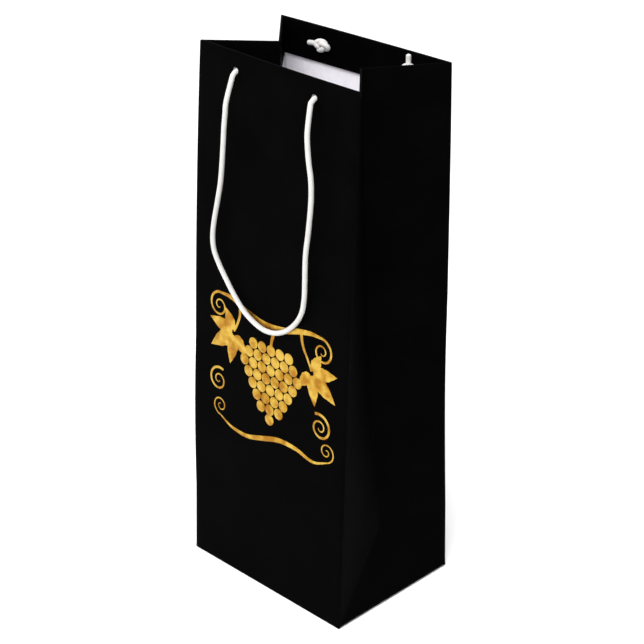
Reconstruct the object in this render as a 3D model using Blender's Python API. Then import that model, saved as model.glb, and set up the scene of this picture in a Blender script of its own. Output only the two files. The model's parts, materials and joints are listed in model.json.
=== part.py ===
"""Wine gift bag: a tall folded-paper carrier with pushed-in side gussets and two rope handles.

Row frame: X runs across the front, -Y is the front, +Z is up, and the origin is the middle of
the base. Walls are thin sheets laid out from their fold lines, so WIDTH, DEPTH and HEIGHT are
measured from fold to fold, as on a carton maker's drawing. All sizes are in metres.
"""

import math

import bmesh
import bpy
from mathutils import Vector

# Overall sizes
WIDTH = 0.127
DEPTH = 0.095
HEIGHT = 0.330
MOUTH_DEPTH = 0.070

# Sheet stock
PAPER = 0.0003
TOP_CARD = 0.0008
BASE_CARD = 0.0012
GAP = 0.0003

# Turned-in top and its stiffening cards
HEM = 0.022
HEM_ROLL = 0.0006
CARD_HEIGHT = 0.0195
CARD_SIDE_MARGIN = 0.0185

# Glued seam and bottom flaps
SEAM_FLAP = 0.014
BOTTOM_OVERLAP = 0.012
FLAP_MITRE = 0.036
SIDE_FLAP = 0.040
BASE_CARD_CLEARANCE = 0.0006

# Rope handles
CORD = 0.003
HOLE_SPACING = 0.063
HOLE_DROP = 0.0105
HOLE_CLEARANCE = 0.0005
BEND_OUT = 1.75 * CORD
ROPE_STAND_OFF = 0.0006
ROPE_STEP = 2.5 * CORD
KNOT_WIDTH = 0.0115
KNOT_HEIGHT = 0.0086
KNOT_THICKNESS = 0.0080
SIDE_TAIL = 0.0120
UPRIGHT_TAIL = 0.0092

# Facets
STRIP_ROWS = 17
HOLE_SIDES = 24
KNOT_SIDES = 16
KNOT_RINGS = 10
NECK_SIDES = 16

FRONT, BACK = -1, 1
LEFT, RIGHT = -1, 1

# Levels of the bottom flaps' middles: front flap lowest, then the back flap, then the side flaps
LAYER = PAPER + GAP
FRONT_FLAP_Z = PAPER / 2
BACK_FLAP_Z = FRONT_FLAP_Z + LAYER
SIDE_FLAP_Z = BACK_FLAP_Z + LAYER
BASE_CARD_Z = SIDE_FLAP_Z + PAPER / 2 + GAP

WALL_TOP = HEIGHT - PAPER - GAP
HOLE_Z = HEIGHT - HOLE_DROP

# How far the turned-in hem's inner face lies inside the wall's middle
FACE = PAPER / 2
PANEL_HEM_OUT = FACE + GAP + TOP_CARD + GAP
PANEL_HEM_IN = PANEL_HEM_OUT + PAPER
GUSSET_HEM_OUT = FACE + HEM_ROLL
GUSSET_HEM_IN = GUSSET_HEM_OUT + PAPER

# Each rope's route from hole to hole: distance across, share of the way from the bends at the
# holes out to the plumb line that the loop hangs on, and drop below the holes
FRONT_ROUTE = (
    (-0.0315, 0.00, 0.0000), (-0.0314, 0.00, 0.0060), (-0.0313, 0.08, 0.0105),
    (-0.0313, 0.35, 0.0160), (-0.0315, 0.72, 0.0230), (-0.0321, 0.95, 0.0310),
    (-0.0332, 1.00, 0.0430), (-0.0356, 1.00, 0.0620), (-0.0388, 1.00, 0.0760),
    (-0.0424, 1.00, 0.0900), (-0.0440, 1.00, 0.1005), (-0.0431, 1.00, 0.1085),
    (-0.0391, 1.00, 0.1162), (-0.0331, 1.00, 0.1243), (-0.0267, 1.00, 0.1320),
    (-0.0193, 1.00, 0.1391), (-0.0108, 1.00, 0.1438), (-0.0020, 1.00, 0.1459),
    (0.0070, 1.00, 0.1447), (0.0156, 1.00, 0.1405), (0.0236, 1.00, 0.1331),
    (0.0288, 1.00, 0.1246), (0.0309, 1.00, 0.1150), (0.0315, 1.00, 0.1035),
    (0.0321, 1.00, 0.0890), (0.0346, 1.00, 0.0720), (0.0365, 1.00, 0.0550),
    (0.0364, 1.00, 0.0430), (0.0347, 0.96, 0.0330), (0.0333, 0.74, 0.0240),
    (0.0325, 0.37, 0.0165), (0.0320, 0.08, 0.0105), (0.0317, 0.00, 0.0060),
    (0.0315, 0.00, 0.0000),
)
REAR_ROUTE = (
    (0.0315, 0.00, 0.0000), (0.0317, 0.00, 0.0060), (0.0321, 0.08, 0.0105),
    (0.0328, 0.35, 0.0160), (0.0338, 0.72, 0.0230), (0.0351, 0.95, 0.0320),
    (0.0368, 1.00, 0.0470), (0.0383, 1.00, 0.0640), (0.0394, 1.00, 0.0800),
    (0.0398, 1.00, 0.0940), (0.0392, 1.00, 0.1060), (0.0370, 1.00, 0.1170),
    (0.0324, 1.00, 0.1270), (0.0258, 1.00, 0.1353), (0.0176, 1.00, 0.1415),
    (0.0086, 1.00, 0.1452), (-0.0010, 1.00, 0.1463), (-0.0106, 1.00, 0.1449),
    (-0.0194, 1.00, 0.1404), (-0.0268, 1.00, 0.1330), (-0.0322, 1.00, 0.1236),
    (-0.0353, 1.00, 0.1124), (-0.0363, 1.00, 0.0996), (-0.0358, 1.00, 0.0848),
    (-0.0346, 1.00, 0.0684), (-0.0333, 1.00, 0.0520), (-0.0322, 0.98, 0.0368),
    (-0.0316, 0.74, 0.0240), (-0.0313, 0.37, 0.0165), (-0.0313, 0.08, 0.0105),
    (-0.0314, 0.00, 0.0060), (-0.0315, 0.00, 0.0000),
)


def clear_scene():
    for item in list(bpy.data.objects):
        bpy.data.objects.remove(item, do_unlink=True)


def make_material(name, color, roughness):
    material = bpy.data.materials.new(name)
    material.use_nodes = True
    shader = material.node_tree.nodes["Principled BSDF"]
    shader.inputs["Base Color"].default_value = (*color, 1.0)
    shader.inputs["Roughness"].default_value = roughness
    shader.inputs["Metallic"].default_value = 0.0
    return material


def add_object(name, points, faces, material):
    """One closed mesh, its faces turned outward."""
    mesh = bpy.data.meshes.new(name)
    mesh.from_pydata([tuple(point) for point in points], [], faces)
    shape = bmesh.new()
    shape.from_mesh(mesh)
    bmesh.ops.recalc_face_normals(shape, faces=shape.faces)
    shape.to_mesh(mesh)
    shape.free()
    mesh.materials.append(material)
    item = bpy.data.objects.new(name, mesh)
    bpy.context.scene.collection.objects.link(item)
    return item


def loft(name, sections, material):
    """A solid through matching outlines, closed by the first and the last of them."""
    sides = len(sections[0])
    points = [point for section in sections for point in section]
    faces = [list(range(sides)), list(range(len(points) - sides, len(points)))]
    for row in range(len(sections) - 1):
        for side in range(sides):
            near = row * sides + side
            beside = row * sides + (side + 1) % sides
            faces.append([near, beside, beside + sides, near + sides])
    return add_object(name, points, faces, material)


def strip(name, rows, material):
    """A thin sheet of rows (outer left, outer right, inner right, inner left).

    Both faces are split along the same diagonals, so that a twisted sheet keeps its thickness.
    """
    points = [point for row in rows for point in row]
    last = len(points) - 4
    faces = [[0, 1, 2, 3], [last, last + 1, last + 2, last + 3]]
    for a in range(0, last, 4):
        b = a + 4
        faces += [[a, a + 1, b + 1], [a, b + 1, b]]
        faces += [[a + 3, a + 2, b + 2], [a + 3, b + 2, b + 3]]
        faces += [[a, a + 3, b + 3, b], [a + 1, a + 2, b + 2, b + 1]]
    return add_object(name, points, faces, material)


# ---- Folded geometry -------------------------------------------------------------------------

def half_depth(z):
    """The panels lean in evenly from the base to the mouth."""
    return (DEPTH + (MOUTH_DEPTH - DEPTH) * z / HEIGHT) / 2


def crease_inset(z):
    """How far the gusset's middle crease is pushed in: each half keeps its width of paper."""
    return math.sqrt(max((DEPTH / 2) ** 2 - half_depth(z) ** 2, 0.0))


def fold_setback(angle):
    """Distance from a fold line that keeps GAP between two sheets which meet at this angle."""
    return (GAP / 2 + FACE * math.cos(angle / 2)) / math.sin(angle / 2)


def corner_point(hand, side, z):
    return Vector((hand * WIDTH / 2, side * half_depth(z), z))


def crease_point(hand, z):
    return Vector((hand * (WIDTH / 2 - crease_inset(z)), 0.0, z))


def apex_z():
    """Top of the triangular fold at the gusset's foot, half the depth along the sheet."""
    reach = DEPTH / 2
    return math.sqrt(reach ** 2 - crease_inset(reach) ** 2)


def corner_line(side):
    """Unit vector up a corner fold."""
    rise = corner_point(RIGHT, side, HEIGHT) - corner_point(RIGHT, side, 0.0)
    return rise.normalized()


def gusset_row(hand, side, share):
    """Corner and crease ends of one ruling of a half gusset: share 0 is its diagonal foot fold."""
    corner = corner_point(hand, side, SIDE_FLAP_Z + share * (WALL_TOP - SIDE_FLAP_Z))
    crease = crease_point(hand, apex_z() + share * (WALL_TOP - apex_z()))
    return corner, crease


def inward_normal(hand, side, across):
    """Unit normal of a half gusset, turned to the inside of the bag."""
    normal = across.cross(corner_line(side)).normalized()
    return normal if normal.x * hand < 0 else -normal


def corner_angle(across):
    """Angle between a panel and the half gusset that leaves it in this direction."""
    return math.atan2(abs(across.y), abs(across.x))


def row_shares(start):
    """Evenly spaced rulings, so that neighbouring sheets have their facets side by side."""
    return [start + (1 - start) * step / (STRIP_ROWS - 1) for step in range(STRIP_ROWS)]


def panel_point(side, x, z, inset):
    """A point on a panel, this far inside its middle."""
    lean = math.atan((DEPTH - MOUTH_DEPTH) / 2 / HEIGHT)
    return Vector((x, side * (half_depth(z) - inset / math.cos(lean)), z))


def panel_edge(share):
    """Half width of a panel at this share of its height, clear of the gusset's corner."""
    corner, crease = gusset_row(RIGHT, FRONT, share)
    return WIDTH / 2 - fold_setback(corner_angle(crease - corner))


# ---- Walls -----------------------------------------------------------------------------------

def make_panel(name, side, flap_z, material):
    bottom = flap_z + fold_setback(math.pi / 2)
    rows = []
    for share in row_shares(0.0):
        z = bottom + share * (WALL_TOP - bottom)
        x = panel_edge(share)
        rows.append([
            panel_point(side, -x, z, -FACE), panel_point(side, x, z, -FACE),
            panel_point(side, x, z, FACE), panel_point(side, -x, z, FACE),
        ])
    return strip(name, rows, material)


def make_gusset_half(name, hand, side, material):
    start = 2 * fold_setback(math.pi / 2) / HEIGHT
    rows = []
    for share in row_shares(start):
        corner, crease = gusset_row(hand, side, share)
        across = (crease - corner).normalized()
        normal = inward_normal(hand, side, across)
        square = across.cross(corner_line(side)).length
        pocket = 2 * math.atan2(half_depth(crease.z), crease_inset(crease.z))
        upright = math.sqrt(1 - across.z ** 2)
        near = corner + across * fold_setback(corner_angle(across)) / square
        far = crease - across * fold_setback(pocket) / upright
        rows.append([
            near - normal * FACE, far - normal * FACE, far + normal * FACE, near + normal * FACE,
        ])
    return strip(name, rows, material)


def make_gusset_foot(name, hand, material):
    """The triangle that stands on the side flap and tips in under the two gusset halves."""
    low = Vector((hand * WIDTH / 2, -DEPTH / 2, SIDE_FLAP_Z))
    other = Vector((hand * WIDTH / 2, DEPTH / 2, SIDE_FLAP_Z))
    apex = crease_point(hand, apex_z())
    normal = (other - low).cross(apex - low).normalized()
    tip_in = math.atan2(crease_inset(apex_z()), apex_z() - SIDE_FLAP_Z)
    base_setback = fold_setback(math.pi / 2 - tip_in)
    edge_setback = fold_setback(math.pi / 2)
    setbacks = (base_setback, edge_setback, edge_setback)
    corners = inset_triangle((low, other, apex), setbacks)
    outer = [corner + normal * FACE for corner in corners]
    inner = [corner - normal * FACE for corner in corners]
    return loft(name, [outer, inner], material)


def inset_triangle(corners, setbacks):
    """Corners moved in so that each side, counted from its first corner, steps back."""
    moved = []
    for index, corner in enumerate(corners):
        ahead = (corners[(index + 1) % 3] - corner).normalized()
        behind = (corners[index - 1] - corner).normalized()
        spread = math.sin(ahead.angle(behind))
        moved.append(corner + (ahead * setbacks[index - 1] + behind * setbacks[index]) / spread)
    return moved


def make_seam_flap(material):
    """The glue flap inside the back panel, at the left corner where the blank's ends meet."""
    inset = FACE + GAP + FACE
    angle = corner_angle(crease_point(LEFT, HEIGHT) - corner_point(LEFT, BACK, HEIGHT))
    start = (GUSSET_HEM_IN + (inset + FACE) * math.cos(angle)) / math.sin(angle)
    start += GAP / math.sin(angle / 2)
    left = -WIDTH / 2 + start
    right = left + SEAM_FLAP
    rows = []
    for z in (BASE_CARD_Z, WALL_TOP):
        rows.append([
            panel_point(BACK, left, z, inset - FACE), panel_point(BACK, right, z, inset - FACE),
            panel_point(BACK, right, z, inset + FACE), panel_point(BACK, left, z, inset + FACE),
        ])
    return strip("side_seam_flap", rows, material)


# ---- Turned-in top ---------------------------------------------------------------------------

def hem_section(hem_out, hem_in):
    """The hem's outline as (inset, height): over the wall's top edge and down its inside."""
    low = HEIGHT - HEM
    return [
        (-FACE, HEIGHT), (-FACE, HEIGHT - PAPER), (hem_out, HEIGHT - PAPER),
        (hem_out, low), (hem_in, low), (hem_in, HEIGHT),
    ]


def hem_mitre(own_in, other_in, inset, angle):
    """Distance from the corner fold at which one hem stops short of its neighbour."""
    meeting = (other_in + own_in * math.cos(angle)) / math.sin(angle)
    slope = math.atan2(own_in, meeting)
    return meeting * inset / own_in + GAP / 2 / math.sin(slope)


def make_panel_hem(name, side, material):
    angle = corner_angle(crease_point(RIGHT, HEIGHT) - corner_point(RIGHT, side, HEIGHT))
    ends = []
    for hand in (LEFT, RIGHT):
        section = []
        for inset, z in hem_section(PANEL_HEM_OUT, PANEL_HEM_IN):
            mitre = hem_mitre(PANEL_HEM_IN, GUSSET_HEM_IN, max(inset, 0.0), angle)
            section.append(panel_point(side, hand * (WIDTH / 2 - mitre), z, inset))
        ends.append(section)
    return loft(name, ends, material)


def make_gusset_hem(name, hand, side, material):
    corner_end, crease_end = [], []
    for inset, z in hem_section(GUSSET_HEM_OUT, GUSSET_HEM_IN):
        corner = corner_point(hand, side, z)
        crease = crease_point(hand, z)
        across = (crease - corner).normalized()
        normal = inward_normal(hand, side, across)
        angle = corner_angle(across)
        mitre = hem_mitre(GUSSET_HEM_IN, PANEL_HEM_IN, max(inset, 0.0), angle)
        pocket = 2 * math.atan2(half_depth(z), crease_inset(z))
        corner_end.append(corner + across * mitre + normal * inset)
        crease_end.append(crease - across * fold_setback(pocket) + normal * inset)
    return loft(name, [corner_end, crease_end], material)


def make_handle_card(name, side, material):
    """The stiff card between panel and hem that spreads the handle's pull."""
    x = WIDTH / 2 - CARD_SIDE_MARGIN
    top = WALL_TOP - GAP
    outer, inner = FACE + GAP, FACE + GAP + TOP_CARD
    rows = []
    for z in (top - CARD_HEIGHT, top):
        rows.append([
            panel_point(side, -x, z, outer), panel_point(side, x, z, outer),
            panel_point(side, x, z, inner), panel_point(side, -x, z, inner),
        ])
    return strip(name, rows, material)


# ---- Bottom ----------------------------------------------------------------------------------

def flat_sheet(name, outline, low, thickness, material):
    """A level sheet from pairs of (left x, right x, y)."""
    rows = []
    for left, right, y in outline:
        rows.append([
            Vector((left, y, low)), Vector((right, y, low)),
            Vector((right, y, low + thickness)), Vector((left, y, low + thickness)),
        ])
    return strip(name, rows, material)


def make_end_flap(name, side, level, material):
    """Front or back flap: full width at its fold, mitred at 45 degrees, past the middle."""
    setback = fold_setback(math.pi / 2)
    root_x = WIDTH / 2 - setback
    root_y = DEPTH / 2 - setback
    outline = [
        (-root_x, root_x, side * root_y),
        (FLAP_MITRE - root_x, root_x - FLAP_MITRE, side * (root_y - FLAP_MITRE)),
        (FLAP_MITRE - root_x, root_x - FLAP_MITRE, -side * BOTTOM_OVERLAP),
    ]
    return flat_sheet(name, outline, level - FACE, PAPER, material)


def make_side_flap(name, hand, material):
    root = hand * (WIDTH / 2 - fold_setback(math.pi / 3))
    tip = hand * (WIDTH / 2 - SIDE_FLAP)
    y = DEPTH / 2 - FACE - GAP
    outline = [(min(root, tip), max(root, tip), -y), (min(root, tip), max(root, tip), y)]
    return flat_sheet(name, outline, SIDE_FLAP_Z - FACE, PAPER, material)


def make_base_card(material):
    """The loose stiff card that the bottle stands on, cut to fit between the walls."""
    slope = crease_inset(apex_z()) / (apex_z() - SIDE_FLAP_Z)
    lean_in = slope * (BASE_CARD_Z + BASE_CARD - SIDE_FLAP_Z)
    x = WIDTH / 2 - lean_in - PAPER - BASE_CARD_CLEARANCE
    y = DEPTH / 2 - FACE - LAYER - BASE_CARD_CLEARANCE
    return flat_sheet("base_card", [(-x, x, -y), (-x, x, y)], BASE_CARD_Z, BASE_CARD, material)


# ---- Rope handles ----------------------------------------------------------------------------

def wall_face(side):
    """The panel's outer face at the holes."""
    return panel_point(side, 0.0, HOLE_Z, -FACE).y


def bend_point(side, x):
    """Where the rope turns from its hole to hang: the line through both is the handle's hinge."""
    return Vector((x, wall_face(side) + side * BEND_OUT, HOLE_Z))


def cylinder(name, radius, sides, start, end, material):
    """A round bar from one point to another."""
    axis = (end - start).normalized()
    beside = axis.orthogonal().normalized()
    across = axis.cross(beside)
    rings = []
    for centre in (start, end):
        ring = []
        for step in range(sides):
            turn = 2 * math.pi * step / sides
            ring.append(centre + (beside * math.cos(turn) + across * math.sin(turn)) * radius)
        rings.append(ring)
    return loft(name, rings, material)


def as_tool(item):
    """A shape that only cuts or joins another one."""
    item.hide_render = True
    item.display_type = "WIRE"
    return item


def add_boolean(item, tool, operation):
    modifier = item.modifiers.new(tool.name, "BOOLEAN")
    modifier.operation = operation
    modifier.solver = "EXACT"
    modifier.object = tool


def cut_handle_holes(side, pieces, material):
    """One straight punched hole at each end of the handle, through every layer of the wall."""
    reach = 5 * PANEL_HEM_IN
    for hand in (LEFT, RIGHT):
        centre = Vector((hand * HOLE_SPACING / 2, wall_face(side), HOLE_Z))
        along = Vector((0.0, reach, 0.0))
        name = f"hole_tool_{side + 1}_{hand + 1}"
        radius = CORD / 2 + HOLE_CLEARANCE
        tool = as_tool(cylinder(name, radius, HOLE_SIDES, centre - along, centre + along, material))
        for piece in pieces:
            add_boolean(piece, tool, "DIFFERENCE")


def make_knot(name, side, hand, tail_reach, material):
    """An overhand knot pulled against the hem, with the neck of rope that goes out by the hole."""
    bend = bend_point(side, hand * HOLE_SPACING / 2)
    neck_end = bend - Vector((0.0, side * (CORD / 2 + GAP), 0.0))
    hem_face = panel_point(side, 0.0, HOLE_Z + KNOT_HEIGHT / 2, PANEL_HEM_IN).y
    centre = Vector((bend.x, hem_face - side * (GAP + KNOT_THICKNESS / 2), HOLE_Z))
    mesh = bpy.data.meshes.new(name)
    shape = bmesh.new()
    bmesh.ops.create_uvsphere(shape, u_segments=KNOT_SIDES, v_segments=KNOT_RINGS, radius=0.5)
    bmesh.ops.scale(shape, vec=(KNOT_WIDTH, KNOT_THICKNESS, KNOT_HEIGHT), verts=shape.verts)
    bmesh.ops.translate(shape, vec=centre, verts=shape.verts)
    shape.to_mesh(mesh)
    shape.free()
    mesh.materials.append(material)
    knot = bpy.data.objects.new(name, mesh)
    bpy.context.scene.collection.objects.link(knot)
    neck = cylinder(name + "_neck", CORD / 2, NECK_SIDES, neck_end, centre, material)
    tip = centre + tail_reach
    tail = cylinder(name + "_tail", CORD / 2, NECK_SIDES, centre, tip, material)
    add_boolean(knot, as_tool(neck), "UNION")
    add_boolean(knot, as_tool(tail), "UNION")
    return knot


def smooth_route(points, per_span):
    """Points on the Catmull-Rom curve through the route."""
    ends = [2 * points[0] - points[1]] + points + [2 * points[-1] - points[-2]]
    curve = []
    for index in range(len(points) - 1):
        a, b, c, d = ends[index:index + 4]
        for step in range(per_span):
            t = step / per_span
            curve.append(0.5 * (2 * b + (c - a) * t + (2 * a - 5 * b + 4 * c - d) * t ** 2
                                + (3 * b - a - 3 * c + d) * t ** 3))
    return curve + [points[-1]]


def even_points(curve, spacing):
    """The curve again, as points at equal distances of about this spacing."""
    lengths = [(after - before).length for before, after in zip(curve, curve[1:])]
    total = sum(lengths)
    count = round(total / spacing)
    even = [curve[0]]
    index, walked = 0, 0.0
    for step in range(1, count):
        target = total * step / count
        while walked + lengths[index] < target:
            walked += lengths[index]
            index += 1
        share = (target - walked) / lengths[index]
        even.append(curve[index].lerp(curve[index + 1], share))
    return even + [curve[-1]]


def plumb_face(side, route):
    """The upright plane that a loop hangs on, where its lowest part just clears the panel."""
    lowest = HOLE_Z - max(drop for x, share, drop in route)
    return panel_point(side, 0.0, lowest, -FACE - ROPE_STAND_OFF - CORD / 2).y


def make_rope(name, side, route, material):
    """The loop outside the bag. Its origin is on its hinge, the line through its two bends."""
    pivot = bend_point(side, 0.0)
    hang_out = plumb_face(side, route) - pivot.y
    points = []
    for x, share, drop in route:
        points.append(pivot + Vector((x, share * hang_out, -drop)))
    centres = even_points(smooth_route(points, 8), ROPE_STEP)
    curve = bpy.data.curves.new(name, "CURVE")
    curve.dimensions = "3D"
    curve.bevel_depth = CORD / 2
    curve.bevel_resolution = 2
    curve.use_fill_caps = True
    spline = curve.splines.new("POLY")
    spline.points.add(len(centres) - 1)
    for target, centre in zip(spline.points, centres):
        target.co = (*(centre - pivot), 1.0)
    curve.materials.append(material)
    rope = bpy.data.objects.new(name, curve)
    rope.location = pivot
    bpy.context.scene.collection.objects.link(rope)
    return rope


def main():
    clear_scene()
    black = make_material("black_paper", (0.006, 0.006, 0.007), 0.5)
    flap = make_material("flap_paper", (0.75, 0.74, 0.76), 0.7)
    card = make_material("grey_card", (0.32, 0.31, 0.29), 0.9)
    cotton = make_material("cord", (0.76, 0.75, 0.72), 0.85)

    panels = {
        FRONT: make_panel("front_panel", FRONT, FRONT_FLAP_Z, black),
        BACK: make_panel("back_panel", BACK, BACK_FLAP_Z, black),
    }
    for hand, hand_name in ((LEFT, "left"), (RIGHT, "right")):
        make_gusset_foot(f"{hand_name}_gusset_foot", hand, black)
        make_side_flap(f"{hand_name}_bottom_flap", hand, black)
        for side, side_name in ((FRONT, "front"), (BACK, "rear")):
            make_gusset_half(f"{hand_name}_gusset_{side_name}", hand, side, black)
            make_gusset_hem(f"{hand_name}_gusset_{side_name}_hem", hand, side, black)
    make_seam_flap(flap)
    make_end_flap("front_bottom_flap", FRONT, FRONT_FLAP_Z, black)
    make_end_flap("back_bottom_flap", BACK, BACK_FLAP_Z, black)
    make_base_card(card)

    side_tail = Vector((-SIDE_TAIL, 0.0, 0.0))
    upright_tail = Vector((0.0, 0.0, UPRIGHT_TAIL))
    for side, wall, handle, route in (
        (FRONT, "front", "front", FRONT_ROUTE),
        (BACK, "back", "rear", REAR_ROUTE),
    ):
        hem = make_panel_hem(f"{wall}_hem", side, black)
        stiffener = make_handle_card(f"{wall}_handle_card", side, card)
        cut_handle_holes(side, (panels[side], stiffener, hem), black)
        make_knot(f"{handle}_knot_left", side, LEFT, side_tail, cotton)
        make_knot(f"{handle}_knot_right", side, RIGHT, upright_tail, cotton)
        make_rope(f"{handle}_handle_rope", side, route, cotton)


main()
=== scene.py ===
"""Wine gift bag, finished: folded and glued black paper, knotted cord handles and gold foil.

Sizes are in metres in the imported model's frame: X runs across the front, -Y is the front and
+Z is up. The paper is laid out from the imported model's own boxes.
"""

import json
import math

import bmesh
import bpy
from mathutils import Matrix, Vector


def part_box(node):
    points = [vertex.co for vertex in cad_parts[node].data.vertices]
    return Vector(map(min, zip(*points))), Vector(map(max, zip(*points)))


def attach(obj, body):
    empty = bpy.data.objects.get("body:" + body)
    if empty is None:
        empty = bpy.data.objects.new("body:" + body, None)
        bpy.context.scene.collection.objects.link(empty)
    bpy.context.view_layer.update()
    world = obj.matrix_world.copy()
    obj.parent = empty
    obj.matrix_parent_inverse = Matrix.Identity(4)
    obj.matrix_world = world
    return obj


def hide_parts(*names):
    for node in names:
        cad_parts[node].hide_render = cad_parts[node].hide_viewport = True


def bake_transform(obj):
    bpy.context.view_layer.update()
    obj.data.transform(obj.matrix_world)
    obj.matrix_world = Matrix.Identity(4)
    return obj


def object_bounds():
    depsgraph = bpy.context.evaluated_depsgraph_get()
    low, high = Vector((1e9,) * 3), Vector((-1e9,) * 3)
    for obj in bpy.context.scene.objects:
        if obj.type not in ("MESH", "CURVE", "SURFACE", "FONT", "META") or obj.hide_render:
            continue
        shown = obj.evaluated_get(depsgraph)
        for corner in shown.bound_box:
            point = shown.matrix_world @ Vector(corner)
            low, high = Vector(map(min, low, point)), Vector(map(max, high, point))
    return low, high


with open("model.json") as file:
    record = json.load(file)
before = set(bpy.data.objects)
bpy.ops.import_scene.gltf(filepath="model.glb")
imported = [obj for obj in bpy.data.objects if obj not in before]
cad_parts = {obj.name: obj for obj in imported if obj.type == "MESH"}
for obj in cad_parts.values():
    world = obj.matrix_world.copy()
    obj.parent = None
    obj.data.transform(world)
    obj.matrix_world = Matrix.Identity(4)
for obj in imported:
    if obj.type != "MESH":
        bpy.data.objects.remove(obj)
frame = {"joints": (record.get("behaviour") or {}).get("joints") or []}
CAD_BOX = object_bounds()

FRONT, BACK = -1, 1
LEFT, RIGHT = -1, 1
SIDE_NAMES = {FRONT: "front", BACK: "rear"}
HAND_NAMES = {LEFT: "left", RIGHT: "right"}

# ---- Sizes from the frame ----

PAPER = 0.0003
FACE = PAPER / 2
CORD = 0.003
HALF_WIDTH = CAD_BOX[1].x - FACE
TOP = CAD_BOX[1].z
TOP_MIDDLE = TOP - FACE
BASE_HALF_DEPTH = -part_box("front_panel")[0].y - FACE
MOUTH_HALF_DEPTH = -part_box("front_hem")[0].y - FACE
HEM_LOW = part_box("front_hem")[0].z
HINGES = {
    side: Vector(next(j["pos_m"] for j in frame["joints"] if j["child"] == name + "_handle"))
    for side, name in SIDE_NAMES.items()
}
HOLE_Z = HINGES[FRONT].z
HOLE_X = sum(limit.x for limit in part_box("front_knot_right")) / 2
HOLE_ROOM = 0.0005
HOLE_RADIUS = CORD / 2 + HOLE_ROOM
LEAN = math.atan((BASE_HALF_DEPTH - MOUTH_HALF_DEPTH) / TOP)

# The turned-in hem: how far inside the wall it lies, and the radius of its top edges
PANEL_HEM_INSET = 0.0017
GUSSET_HEM_INSET = 0.00095
HEM_ROLL = 0.0004

# The stiffening cards in the hem, and their gap to the wall
HANDLE_CARD = 0.0008
CARD_GAP = 0.0003

# The four bottom flaps lie on each other, front flap lowest
FOLD_RADIUS = 0.0005
FRONT_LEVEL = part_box("front_bottom_flap")[0].z + FACE
BACK_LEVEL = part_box("back_bottom_flap")[0].z + FACE
SIDE_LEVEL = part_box("left_bottom_flap")[0].z + FACE

# The mouth has sprung out of square: how far (across, back) each corner and crease of the rim has
# moved, and the height above which the walls follow
MOUTH_START = 0.150
CORNER_SHIFTS = {
    (LEFT, FRONT): (0.0, 0.0039), (LEFT, BACK): (-0.0030, 0.0),
    (RIGHT, FRONT): (0.0018, 0.0), (RIGHT, BACK): (0.0008, 0.0),
}
CREASE_SHIFTS = {LEFT: (0.0010, -0.0018), RIGHT: (0.0060, -0.0052)}

# The rear right fold leans back between two heights, and two folds bow forward lower down
LEAN_BACK, LEAN_BACK_LOW, LEAN_BACK_HIGH = 0.0021, 0.120, 0.300
FOLD_BOW, REAR_BOW_TOP = 0.0009, 0.190

# How far the rim, the panels and the gusset halves bulge at their middles
RIM_BULGE = {FRONT: 0.0010, BACK: 0.0006}
PANEL_SWELL = {FRONT: 0.00025, BACK: 0.0007}
PANEL_RIPPLE = 0.00008
GUSSET_BULGE = 0.0009

# Mesh density of the paper
PANEL_CELLS = 32
GUSSET_CELLS = 12
WALL_ROWS = 60
HEM_ROWS = 5

# Each rope's route from hole to hole: distance across, share of the way from the hinge out to
# the plumb line that the loop hangs on, and drop below the holes
FRONT_ROUTE = (
    (-0.0315, 0.00, 0.0000), (-0.0314, 0.00, 0.0060), (-0.0313, 0.08, 0.0105),
    (-0.0313, 0.35, 0.0160), (-0.0315, 0.72, 0.0230), (-0.0321, 0.95, 0.0310),
    (-0.0332, 1.00, 0.0430), (-0.0356, 1.00, 0.0620), (-0.0388, 1.00, 0.0760),
    (-0.0424, 1.00, 0.0900), (-0.0440, 1.00, 0.1005), (-0.0431, 1.00, 0.1085),
    (-0.0391, 1.00, 0.1162), (-0.0331, 1.00, 0.1243), (-0.0267, 1.00, 0.1320),
    (-0.0193, 1.00, 0.1391), (-0.0108, 1.00, 0.1438), (-0.0020, 1.00, 0.1459),
    (0.0070, 1.00, 0.1447), (0.0156, 1.00, 0.1405), (0.0236, 1.00, 0.1331),
    (0.0288, 1.00, 0.1246), (0.0309, 1.00, 0.1150), (0.0315, 1.00, 0.1035),
    (0.0321, 1.00, 0.0890), (0.0346, 1.00, 0.0720), (0.0365, 1.00, 0.0550),
    (0.0364, 1.00, 0.0430), (0.0347, 0.96, 0.0330), (0.0333, 0.74, 0.0240),
    (0.0325, 0.37, 0.0165), (0.0320, 0.08, 0.0105), (0.0317, 0.00, 0.0060),
    (0.0315, 0.00, 0.0000),
)
REAR_ROUTE = (
    (0.0315, 0.00, 0.0000), (0.0317, 0.00, 0.0060), (0.0321, 0.08, 0.0105),
    (0.0328, 0.35, 0.0160), (0.0338, 0.72, 0.0230), (0.0351, 0.95, 0.0320),
    (0.0368, 1.00, 0.0470), (0.0383, 1.00, 0.0640), (0.0394, 1.00, 0.0800),
    (0.0398, 1.00, 0.0940), (0.0392, 1.00, 0.1060), (0.0370, 1.00, 0.1170),
    (0.0324, 1.00, 0.1270), (0.0258, 1.00, 0.1353), (0.0176, 1.00, 0.1415),
    (0.0086, 1.00, 0.1452), (-0.0010, 1.00, 0.1463), (-0.0106, 1.00, 0.1449),
    (-0.0194, 1.00, 0.1404), (-0.0268, 1.00, 0.1330), (-0.0322, 1.00, 0.1236),
    (-0.0353, 1.00, 0.1124), (-0.0363, 1.00, 0.0996), (-0.0358, 1.00, 0.0848),
    (-0.0346, 1.00, 0.0684), (-0.0333, 1.00, 0.0520), (-0.0322, 0.98, 0.0368),
    (-0.0316, 0.74, 0.0240), (-0.0313, 0.37, 0.0165), (-0.0313, 0.08, 0.0105),
    (-0.0314, 0.00, 0.0060), (-0.0315, 0.00, 0.0000),
)


# ---- Materials ----

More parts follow.
